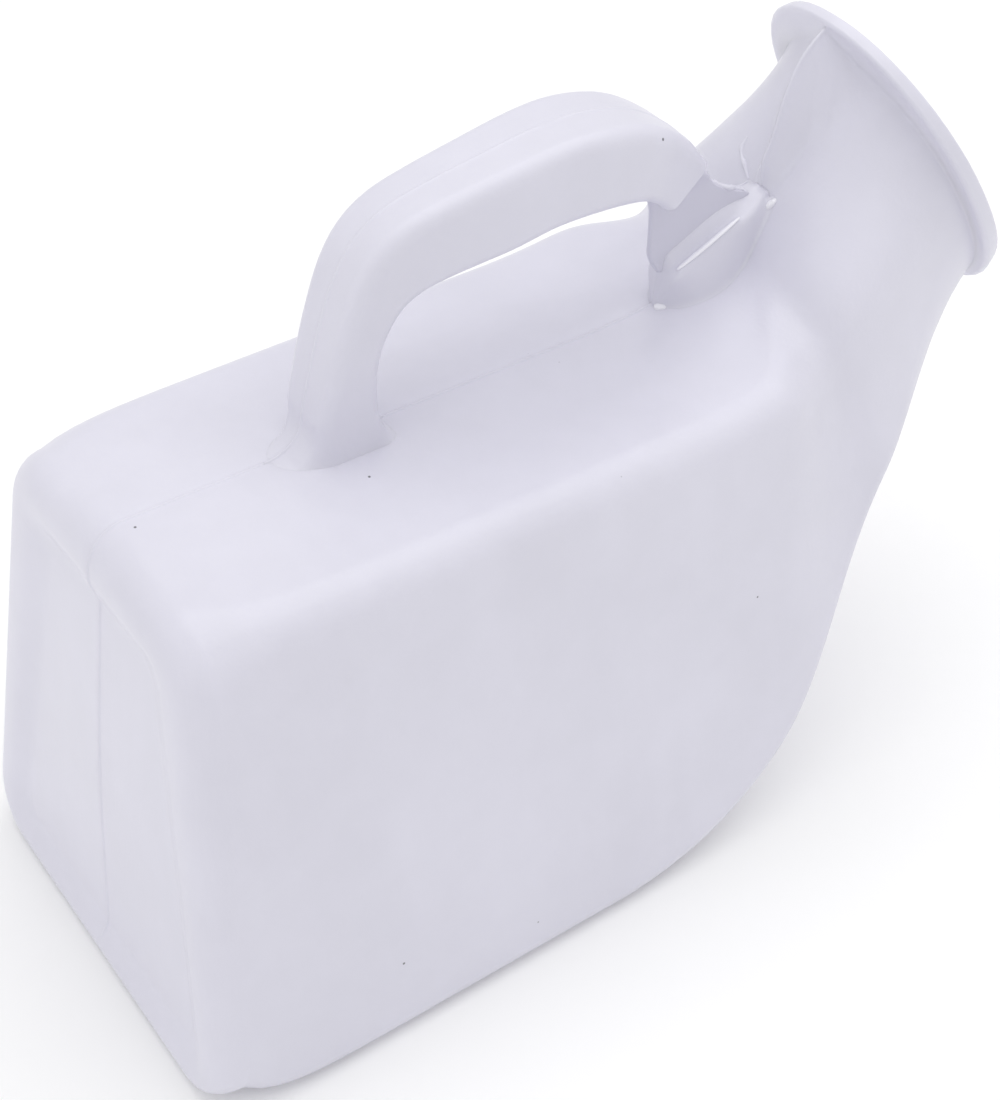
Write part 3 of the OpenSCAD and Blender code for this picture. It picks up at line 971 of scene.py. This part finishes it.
class Plastic:
    """Milky satin polyethylene: light soaks in a little, with faint clouds, flow marks, a grained
    and slightly dimpled skin, rare dark specks, and scuffs where it rubs on shelves."""

    def __init__(self, name, tint, roughness, glow=0.0):
        self.material, self.nodes, self.links = node_tree(name)
        self.shader = self.nodes["Principled BSDF"]
        self.place = self.nodes.new("ShaderNodeTexCoord").outputs["Object"]
        self.shader.inputs["IOR"].default_value = PLASTIC_IOR
        self.shader.inputs["Subsurface Weight"].default_value = glow
        self.shader.inputs["Subsurface Radius"].default_value = GLOW_SPREAD
        self.shader.inputs["Subsurface Scale"].default_value = GLOW_REACH
        clouds = self.noise(CLOUD_SCALE, detail=4)
        mottle = self.noise(MOTTLE_SCALE, detail=4)
        flow = self.noise(1, detail=3, stretch=FLOW_STRETCH)
        scuff = self.scuffs()
        speck = self.specks()

        colour = self.blend(clouds, tint, [c * CLOUD_SHADE for c in tint])
        colour = self.shade(colour, self.between(mottle, *MOTTLE_RANGE, MOTTLE_SHADE, 1.0))
        colour = self.shade(colour, self.between(flow, *FLOW_RANGE, FLOW_SHADE, 1.0))
        colour = self.shade(colour, self.between(scuff, 0, 1, 1.0, SCUFF_SHADE))
        colour = self.shade(colour, self.between(speck, SPECK_CORE, SPECK_R, SPECK_SHADE, 1.0))
        self.links.new(colour, self.shader.inputs["Base Color"])

        # Every sum stays above 0.27, where the denoiser would show a hard edge across the plastic
        rough_range = [roughness + more for more in CLOUD_ROUGH]
        rough = self.between(clouds, *CLOUD_RANGE, *rough_range)
        rough = self.maths("ADD", rough, self.between(scuff, 0, 1, 0.0, SCUFF_ROUGH))
        rough = self.maths("ADD", rough, self.between(mottle, *MOTTLE_RANGE, *MOTTLE_ROUGH))
        self.links.new(rough, self.shader.inputs["Roughness"])

        grain = self.bump(self.noise(GRAIN_SCALE, detail=3), *GRAIN_BUMP, None)
        dimples = self.bump(self.noise(DIMPLE_SCALE, detail=2), *DIMPLE_BUMP, grain)
        marks = self.bump(scuff, *SCUFF_BUMP, dimples)
        self.links.new(marks, self.shader.inputs["Normal"])

    def noise(self, scale, detail, stretch=None, turn=(0.0, 0.0, 0.0)):
        """Noise of that scale, on a place that can be stretched and turned."""
        node = self.nodes.new("ShaderNodeTexNoise")
        node.inputs["Scale"].default_value = scale
        node.inputs["Detail"].default_value = detail
        place = self.stretched(stretch, turn) if stretch else self.place
        self.links.new(place, node.inputs["Vector"])
        return node.outputs["Fac"]

    def stretched(self, scale, turn):
        """The place on the bottle, stretched and turned."""
        node = self.nodes.new("ShaderNodeMapping")
        node.inputs["Scale"].default_value = scale
        node.inputs["Rotation"].default_value = turn
        self.links.new(self.place, node.inputs["Vector"])
        return node.outputs["Vector"]

    def maths(self, operation, a, b):
        """Both values joined by a sum of the maths node."""
        node = self.nodes.new("ShaderNodeMath")
        node.operation = operation
        for socket, value in zip(node.inputs, (a, b)):
            if isinstance(value, float):
                socket.default_value = value
            else:
                self.links.new(value, socket)
        return node.outputs["Value"]

    def between(self, value, low, high, to_low, to_high):
        """The value mapped smoothly from one range to another."""
        node = self.nodes.new("ShaderNodeMapRange")
        node.interpolation_type = "SMOOTHSTEP"
        node.inputs["From Min"].default_value = low
        node.inputs["From Max"].default_value = high
        node.inputs["To Min"].default_value = to_low
        node.inputs["To Max"].default_value = to_high
        self.links.new(value, node.inputs["Value"])
        return node.outputs["Result"]

    def blend(self, value, first, second):
        """A colour between two, by the value."""
        node = self.nodes.new("ShaderNodeValToRGB")
        node.color_ramp.elements[0].position = BLEND_RANGE[0]
        node.color_ramp.elements[0].color = (*second, 1)
        node.color_ramp.elements[1].position = BLEND_RANGE[1]
        node.color_ramp.elements[1].color = (*first, 1)
        self.links.new(value, node.inputs["Fac"])
        return node.outputs["Color"]

    def shade(self, colour, strength):
        """The colour made darker by the strength."""
        node = self.nodes.new("ShaderNodeVectorMath")
        node.operation = "SCALE"
        self.links.new(colour, node.inputs[0])
        self.links.new(strength, node.inputs["Scale"])
        return node.outputs["Vector"]

    def scuffs(self):
        """Fine crossed rub marks in patches, dense at the floor's edge and faint above it."""
        parts = self.nodes.new("ShaderNodeSeparateXYZ")
        self.links.new(self.place, parts.inputs["Vector"])
        low = self.between(parts.outputs["Z"], SCUFF_LOW, SCUFF_HIGH, 1.0, SCUFF_FAINT)
        marks = None
        for turn in RUB_TURNS:
            rub = self.noise(1, 2, stretch=RUB_STRETCH, turn=(turn, RUB_TILT, turn))
            line = self.between(rub, *RUB_RANGE, 0.0, 1.0)
            marks = line if marks is None else self.maths("MAXIMUM", marks, line)
        patches = self.between(self.noise(PATCH_SCALE, detail=2), *PATCH_RANGE, 0.0, 1.0)
        return self.maths("MULTIPLY", self.maths("MULTIPLY", marks, patches), low)

    def specks(self):
        """Distance to the nearest of the rare dark specks in the plastic."""
        node = self.nodes.new("ShaderNodeTexVoronoi")
        node.inputs["Scale"].default_value = SPECKS_PER_M
        self.links.new(self.place, node.inputs["Vector"])
        return node.outputs["Distance"]

    def bump(self, height, strength, distance, under):
        """The skin's normal, tilted by the height over the normal under it."""
        node = self.nodes.new("ShaderNodeBump")
        node.inputs["Strength"].default_value = strength
        node.inputs["Distance"].default_value = distance
        self.links.new(height, node.inputs["Height"])
        if under:
            self.links.new(under, node.inputs["Normal"])
        return node.outputs["Normal"]


wall_plastic = Plastic("milky_wall_plastic", (0.722, 0.713, 0.802), 0.33, WALL_GLOW).material
# The beads' tint is much lighter than the wall's: painted highlight along the boss's ridges and on its
# nibs
bead_painted_highlight_plastic = Plastic("bead_painted_highlight_plastic", (0.9, 0.895, 0.95), 0.32).material
# The trimmed strands' tint is lighter than the wall's: painted highlight on the flash's ridges
scar_painted_highlight_plastic = Plastic("scar_painted_highlight_plastic", (0.77, 0.762, 0.85), 0.32).material
# The web's tint is darker than the wall's: painted shade for the deep shadow under the handle's front
# end
web_plastic_painted_shade = Plastic("pinched_web_painted_shade_plastic", (0.67, 0.66, 0.76), 0.33).material

# ---- Pieces ------------------------------------------------------------------------

shell = make_piece("bottle_shell", *SHELL_SKIN, wall_plastic, "milky_wall")
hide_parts("tank_wall", "shoulder_wall", "neck_wall", "mouth_lip", "end_rim", "end_panel",
            "neck_fin", "parting_ridge")

handle = make_piece("handle", *loft(handle_rings()), wall_plastic, "milky_wall")
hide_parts("handle_leg", "handle_grip", "handle_tip")

boss = make_piece("boss", *loft(boss_rings()), wall_plastic, "milky_wall")
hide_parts("root_boss")

web = make_piece("web", *loft(web_rings()), web_plastic_painted_shade, "pinched_seam")
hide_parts("pinch_web")

scar = make_piece("trimmed_flash", *strands(SCARS, SCAR_SINK), scar_painted_highlight_plastic, "pinched_seam")
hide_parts("pinch_scar")

# The beads replace no node, because the boss's own node has them too
# Drawn in the beads' lighter tint, which is a painted highlight
make_piece("beads", *strands(BEADS, NIB_SINK), bead_painted_highlight_plastic, "pinched_seam")

# ---- Floor, light and camera ---------------------------------------------------------


# The studio: a pale floor, white surroundings, and lights with their place, aim, width, depth
# and power
FLOOR_REACH = 4.0
FLOOR_TINT = (0.985, 0.985, 0.985, 1)
FLOOR_ROUGHNESS = 0.9
WORLD_STRENGTH = 0.735
MIDDLE = (Vector(cad_low) + Vector(cad_high)) / 2
LIGHTS = {
    "key": [(-0.85, 0.0, 0.45), MIDDLE, 1.0, 1.0, 1.1],
    "overhead": [(0.3, 0.05, 1.2), MIDDLE, 1.3, 1.3, 6.4],
    "edge": [(0.4, -0.6, 0.7), (0.4, 0, 0.06), 1.4, 0.04, 0.3],
}

CAMERA_PLACE = Vector((-0.19152, -0.2894, 0.3767))
CAMERA_AIM = Vector((-0.00782, 0.0, 0.06))
CAMERA_ROLL = math.radians(-2.42)
CAMERA_LENS = 72.94
CAMERA_SENSOR = 36


def studio():
    """The floor, the surroundings and the lights."""
    scene = bpy.context.scene
    scene.view_settings.view_transform = "Standard"

    floor_mesh = bpy.data.meshes.new("floor")
    reach = FLOOR_REACH
    corners = [(-reach, -reach), (reach, -reach), (reach, reach), (-reach, reach)]
    floor_mesh.from_pydata([(x, y, cad_low[2]) for x, y in corners], [], [(0, 1, 2, 3)])
    floor = bpy.data.objects.new("floor", floor_mesh)
    scene.collection.objects.link(floor)
    floor_material, nodes, _ = node_tree("pale_floor")
    nodes["Principled BSDF"].inputs["Base Color"].default_value = FLOOR_TINT
    nodes["Principled BSDF"].inputs["Roughness"].default_value = FLOOR_ROUGHNESS
    floor_mesh.materials.append(floor_material)

    world = bpy.data.worlds.new("studio")
    world.use_nodes = True
    world.node_tree.nodes["Background"].inputs["Color"].default_value = (1, 1, 1, 1)
    world.node_tree.nodes["Background"].inputs["Strength"].default_value = WORLD_STRENGTH
    scene.world = world

    for name, values in LIGHTS.items():
        area_light(name, *values)


def area_light(name, place, aim, width, depth, power):
    """A soft rectangular light at that place, turned to the aim."""
    light = bpy.data.lights.new(name, "AREA")
    light.shape = "RECTANGLE"
    light.size = width
    light.size_y = depth
    light.energy = power
    holder = bpy.data.objects.new(name, light)
    holder.location = place
    holder.rotation_euler = (Vector(aim) - Vector(place)).to_track_quat("-Z", "Y").to_euler()
    bpy.context.scene.collection.objects.link(holder)


def camera():
    """The camera that looks at the bottle, rolled a little."""
    data = bpy.data.cameras.new("camera")
    data.lens = CAMERA_LENS
    data.sensor_width = CAMERA_SENSOR
    holder = bpy.data.objects.new("camera", data)
    aimed = (CAMERA_AIM - CAMERA_PLACE).to_track_quat("-Z", "Y")
    holder.location = CAMERA_PLACE
    holder.rotation_mode = "QUATERNION"
    holder.rotation_quaternion = aimed @ Quaternion((0, 0, 1), CAMERA_ROLL)
    bpy.context.scene.collection.objects.link(holder)
    bpy.context.scene.camera = holder


studio()
camera()
